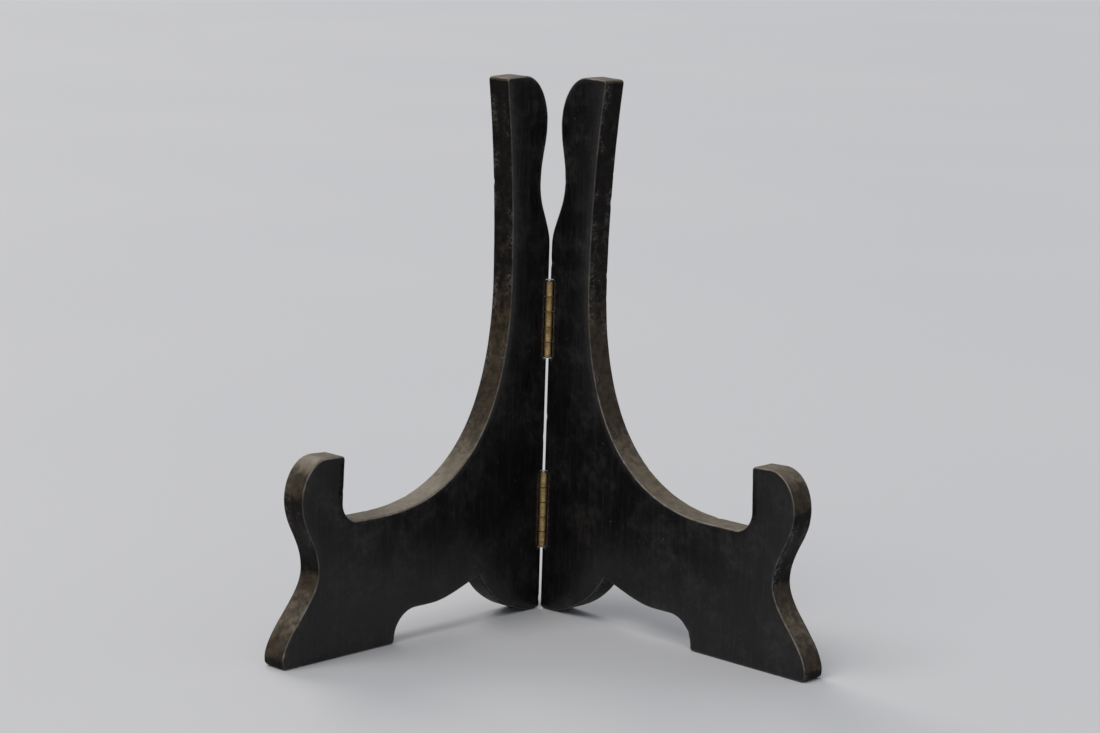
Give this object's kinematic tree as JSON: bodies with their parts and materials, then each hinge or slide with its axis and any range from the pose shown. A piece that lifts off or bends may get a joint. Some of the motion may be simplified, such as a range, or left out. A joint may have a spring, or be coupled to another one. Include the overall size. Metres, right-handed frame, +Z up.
{
  "type": "plate display stand",
  "caption": "Folding wooden plate stand: scrolled side panels hinged along the back open to a V, and front horns hold the rim of a plate.",
  "frame": {"origin": "on the floor, in the middle of the bounding box of the stand when it is open at its display angle", "axes": "+Z up; -Y is the front, where the plate faces; +X is the stand's own side when seen from the front with the right panel to the right"},
  "size_m": [0.1722, 0.0856, 0.178],
  "materials": {
    "black_lacquer": "black satin-gloss lacquer, rubbed brown-grey along its edges",
    "hinge_brass": "dulled rolled brass",
    "screw_brass": "turned brass, polished by the screwdriver at the slot",
    "pin_steel": "plain drawn steel wire, slightly dull"
  },
  "bodies": {
    "left_side": {"left_panel": "black_lacquer", "lower_hinge_left_leaf": "hinge_brass", "lower_hinge_left_screw_bottom": "screw_brass", "lower_hinge_left_screw_top": "screw_brass", "lower_hinge_pin": "pin_steel", "upper_hinge_left_leaf": "hinge_brass", "upper_hinge_left_screw_bottom": "screw_brass", "upper_hinge_left_screw_top": "screw_brass", "upper_hinge_pin": "pin_steel"},
    "right_side": {"right_panel": "black_lacquer", "lower_hinge_right_leaf": "hinge_brass", "lower_hinge_right_screw_bottom": "screw_brass", "lower_hinge_right_screw_top": "screw_brass", "upper_hinge_right_leaf": "hinge_brass", "upper_hinge_right_screw_bottom": "screw_brass", "upper_hinge_right_screw_top": "screw_brass"}
  },
  "joints": [
    {"name": "fold", "type": "hinge", "parent": "left_side", "child": "right_side", "pos_m": [0, 0.03679, 0], "axis": [0, 0, 1], "range_deg": [-90, 90]}
  ]
}
